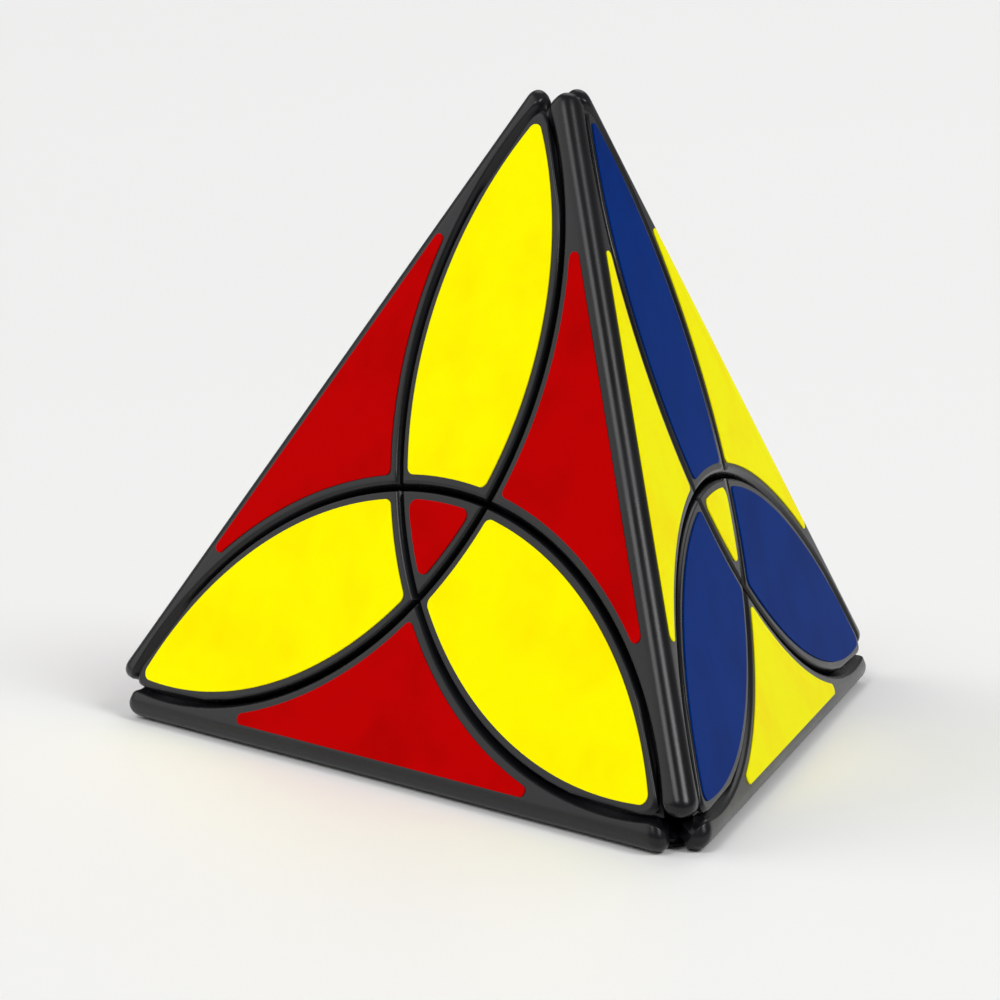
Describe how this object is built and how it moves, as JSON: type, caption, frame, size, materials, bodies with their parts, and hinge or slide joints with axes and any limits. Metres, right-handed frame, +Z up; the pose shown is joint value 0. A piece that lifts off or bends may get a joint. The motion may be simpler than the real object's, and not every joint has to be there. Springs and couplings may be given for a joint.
{
  "type": "pyramid twisty puzzle",
  "caption": "Pyramid-shaped twisty puzzle with curved cuts: edges turn about a central core, carrying leaf-shaped petals and small triangular centres under coloured stickers.",
  "frame": {"origin": "centre of the resting face, on the surface that the puzzle stands on", "axes": "+Z up through the top corner; +X to the right along the bottom front edge; the front face looks towards -Y"},
  "size_m": [0.1032, 0.0908, 0.0848],
  "materials": {
    "black_plastic": "satin black moulded ABS, darker and smoother at the rounded rims",
    "nylon_core": "natural moulded nylon",
    "steel": "bright zinc-plated steel",
    "sticker_red": "smooth semi-gloss vinyl, red",
    "sticker_yellow": "smooth semi-gloss vinyl, yellow",
    "sticker_blue": "smooth semi-gloss vinyl, blue",
    "sticker_green": "smooth semi-gloss vinyl, green"
  },
  "bodies": {
    "core": {"core": "nylon_core", "screws": "steel", "springs": "steel", "washers": "steel"},
    "edge_top_north": {"edge_base_top_north": "black_plastic", "edge_cap_top_north": "black_plastic", "sticker_edge_left_top_north": "sticker_blue", "sticker_edge_right_top_north": "sticker_yellow"},
    "edge_top_west": {"edge_base_top_west": "black_plastic", "edge_cap_top_west": "black_plastic", "sticker_edge_front_top_west": "sticker_red", "sticker_edge_left_top_west": "sticker_blue"},
    "edge_top_east": {"edge_base_top_east": "black_plastic", "edge_cap_top_east": "black_plastic", "sticker_edge_front_top_east": "sticker_red", "sticker_edge_right_top_east": "sticker_yellow"},
    "edge_west_east": {"edge_base_west_east": "black_plastic", "edge_cap_west_east": "black_plastic", "sticker_edge_front_west_east": "sticker_red", "sticker_edge_bottom_west_east": "sticker_green"},
    "edge_east_north": {"edge_base_east_north": "black_plastic", "edge_cap_east_north": "black_plastic", "sticker_edge_right_east_north": "sticker_yellow", "sticker_edge_bottom_east_north": "sticker_green"},
    "edge_west_north": {"edge_base_west_north": "black_plastic", "edge_cap_west_north": "black_plastic", "sticker_edge_left_west_north": "sticker_blue", "sticker_edge_bottom_west_north": "sticker_green"},
    "petal_front_top": {"petal_front_top": "black_plastic", "sticker_petal_front_top": "sticker_yellow"},
    "petal_right_top": {"petal_right_top": "black_plastic", "sticker_petal_right_top": "sticker_blue"},
    "petal_left_top": {"petal_left_top": "black_plastic", "sticker_petal_left_top": "sticker_red"},
    "petal_left_west": {"petal_left_west": "black_plastic", "sticker_petal_left_west": "sticker_red"},
    "petal_bottom_west": {"petal_bottom_west": "black_plastic", "sticker_petal_bottom_west": "sticker_green"},
    "petal_front_west": {"petal_front_west": "black_plastic", "sticker_petal_front_west": "sticker_yellow"},
    "petal_right_east": {"petal_right_east": "black_plastic", "sticker_petal_right_east": "sticker_blue"},
    "petal_front_east": {"petal_front_east": "black_plastic", "sticker_petal_front_east": "sticker_yellow"},
    "petal_bottom_east": {"petal_bottom_east": "black_plastic", "sticker_petal_bottom_east": "sticker_green"},
    "petal_bottom_north": {"petal_bottom_north": "black_plastic", "sticker_petal_bottom_north": "sticker_green"},
    "petal_left_north": {"petal_left_north": "black_plastic", "sticker_petal_left_north": "sticker_red"},
    "petal_right_north": {"petal_right_north": "black_plastic", "sticker_petal_right_north": "sticker_blue"},
    "centre_front": {"centre_front": "black_plastic", "sticker_centre_front": "sticker_red"},
    "centre_left": {"centre_left": "black_plastic", "sticker_centre_left": "sticker_blue"},
    "centre_right": {"centre_right": "black_plastic", "sticker_centre_right": "sticker_yellow"},
    "centre_bottom": {"centre_bottom": "black_plastic", "sticker_centre_bottom": "sticker_green"}
  },
  "joints": [
    {"name": "turn_top_north", "type": "hinge", "parent": "core", "child": "edge_top_north", "pos_m": [0, 0, 0.02301], "axis": [0, 0.8165, 0.5774], "range_deg": [-180, 180]},
    {"name": "turn_top_west", "type": "hinge", "parent": "core", "child": "edge_top_west", "pos_m": [0, 0, 0.02301], "axis": [-0.7071, -0.4082, 0.5774], "range_deg": [-180, 180]},
    {"name": "turn_top_east", "type": "hinge", "parent": "core", "child": "edge_top_east", "pos_m": [0, 0, 0.02301], "axis": [0.7071, -0.4082, 0.5774], "range_deg": [-180, 180]},
    {"name": "turn_west_east", "type": "hinge", "parent": "core", "child": "edge_west_east", "pos_m": [0, 0, 0.02301], "axis": [0, -0.8165, -0.5774], "range_deg": [-180, 180]},
    {"name": "turn_east_north", "type": "hinge", "parent": "core", "child": "edge_east_north", "pos_m": [0, 0, 0.02301], "axis": [0.7071, 0.4082, -0.5774], "range_deg": [-180, 180]},
    {"name": "turn_west_north", "type": "hinge", "parent": "core", "child": "edge_west_north", "pos_m": [0, 0, 0.02301], "axis": [-0.7071, 0.4082, -0.5774], "range_deg": [-180, 180]},
    {"name": "follow_petal_front_top", "type": "hinge", "parent": "edge_top_west", "child": "petal_front_top", "pos_m": [0, 0, 0.02301], "axis": [0.7071, -0.4082, 0.5774], "range_deg": [-180, 180]},
    {"name": "follow_petal_right_top", "type": "hinge", "parent": "edge_top_east", "child": "petal_right_top", "pos_m": [0, 0, 0.02301], "axis": [0, 0.8165, 0.5774], "range_deg": [-180, 180]},
    {"name": "follow_petal_left_top", "type": "hinge", "parent": "edge_top_north", "child": "petal_left_top", "pos_m": [0, 0, 0.02301], "axis": [-0.7071, -0.4082, 0.5774], "range_deg": [-180, 180]},
    {"name": "follow_petal_left_west", "type": "hinge", "parent": "edge_top_west", "child": "petal_left_west", "pos_m": [0, 0, 0.02301], "axis": [-0.7071, 0.4082, -0.5774], "range_deg": [-180, 180]},
    {"name": "follow_petal_bottom_west", "type": "hinge", "parent": "edge_west_north", "child": "petal_bottom_west", "pos_m": [0, 0, 0.02301], "axis": [0, -0.8165, -0.5774], "range_deg": [-180, 180]},
    {"name": "follow_petal_front_west", "type": "hinge", "parent": "edge_west_east", "child": "petal_front_west", "pos_m": [0, 0, 0.02301], "axis": [-0.7071, -0.4082, 0.5774], "range_deg": [-180, 180]},
    {"name": "follow_petal_right_east", "type": "hinge", "parent": "edge_east_north", "child": "petal_right_east", "pos_m": [0, 0, 0.02301], "axis": [0.7071, -0.4082, 0.5774], "range_deg": [-180, 180]},
    {"name": "follow_petal_front_east", "type": "hinge", "parent": "edge_top_east", "child": "petal_front_east", "pos_m": [0, 0, 0.02301], "axis": [0, -0.8165, -0.5774], "range_deg": [-180, 180]},
    {"name": "follow_petal_bottom_east", "type": "hinge", "parent": "edge_west_east", "child": "petal_bottom_east", "pos_m": [0, 0, 0.02301], "axis": [0.7071, 0.4082, -0.5774], "range_deg": [-180, 180]},
    {"name": "follow_petal_bottom_north", "type": "hinge", "parent": "edge_east_north", "child": "petal_bottom_north", "pos_m": [0, 0, 0.02301], "axis": [-0.7071, 0.4082, -0.5774], "range_deg": [-180, 180]},
    {"name": "follow_petal_left_north", "type": "hinge", "parent": "edge_west_north", "child": "petal_left_north", "pos_m": [0, 0, 0.02301], "axis": [0, 0.8165, 0.5774], "range_deg": [-180, 180]},
    {"name": "follow_petal_right_north", "type": "hinge", "parent": "edge_top_north", "child": "petal_right_north", "pos_m": [0, 0, 0.02301], "axis": [0.7071, 0.4082, -0.5774], "range_deg": [-180, 180]},
    {"name": "follow_centre_front", "type": "hinge", "parent": "petal_front_top", "child": "centre_front", "pos_m": [0, 0, 0.02301], "axis": [0, -0.8165, -0.5774], "range_deg": [-180, 180]},
    {"name": "follow_centre_left", "type": "hinge", "parent": "petal_left_west", "child": "centre_left", "pos_m": [0, 0, 0.02301], "axis": [0, 0.8165, 0.5774], "range_deg": [-180, 180]},
    {"name": "follow_centre_right", "type": "hinge", "parent": "petal_right_east", "child": "centre_right", "pos_m": [0, 0, 0.02301], "axis": [0, 0.8165, 0.5774], "range_deg": [-180, 180]},
    {"name": "follow_centre_bottom", "type": "hinge", "parent": "petal_bottom_north", "child": "centre_bottom", "pos_m": [0, 0, 0.02301], "axis": [0, -0.8165, -0.5774], "range_deg": [-180, 180]}
  ],
  "couplings": [
    {"joint": "follow_petal_front_top", "follows": "turn_top_east", "ratio": 1},
    {"joint": "follow_petal_right_top", "follows": "turn_top_north", "ratio": 1},
    {"joint": "follow_petal_left_top", "follows": "turn_top_west", "ratio": 1},
    {"joint": "follow_petal_left_west", "follows": "turn_west_north", "ratio": 1},
    {"joint": "follow_petal_bottom_west", "follows": "turn_west_east", "ratio": 1},
    {"joint": "follow_petal_front_west", "follows": "turn_top_west", "ratio": 1},
    {"joint": "follow_petal_right_east", "follows": "turn_top_east", "ratio": 1},
    {"joint": "follow_petal_front_east", "follows": "turn_west_east", "ratio": 1},
    {"joint": "follow_petal_bottom_east", "follows": "turn_east_north", "ratio": 1},
    {"joint": "follow_petal_bottom_north", "follows": "turn_west_north", "ratio": 1},
    {"joint": "follow_petal_left_north", "follows": "turn_top_north", "ratio": 1},
    {"joint": "follow_petal_right_north", "follows": "turn_east_north", "ratio": 1},
    {"joint": "follow_centre_front", "follows": "turn_west_east", "ratio": 1},
    {"joint": "follow_centre_left", "follows": "turn_top_north", "ratio": 1},
    {"joint": "follow_centre_right", "follows": "turn_top_north", "ratio": 1},
    {"joint": "follow_centre_bottom", "follows": "turn_west_east", "ratio": 1}
  ]
}
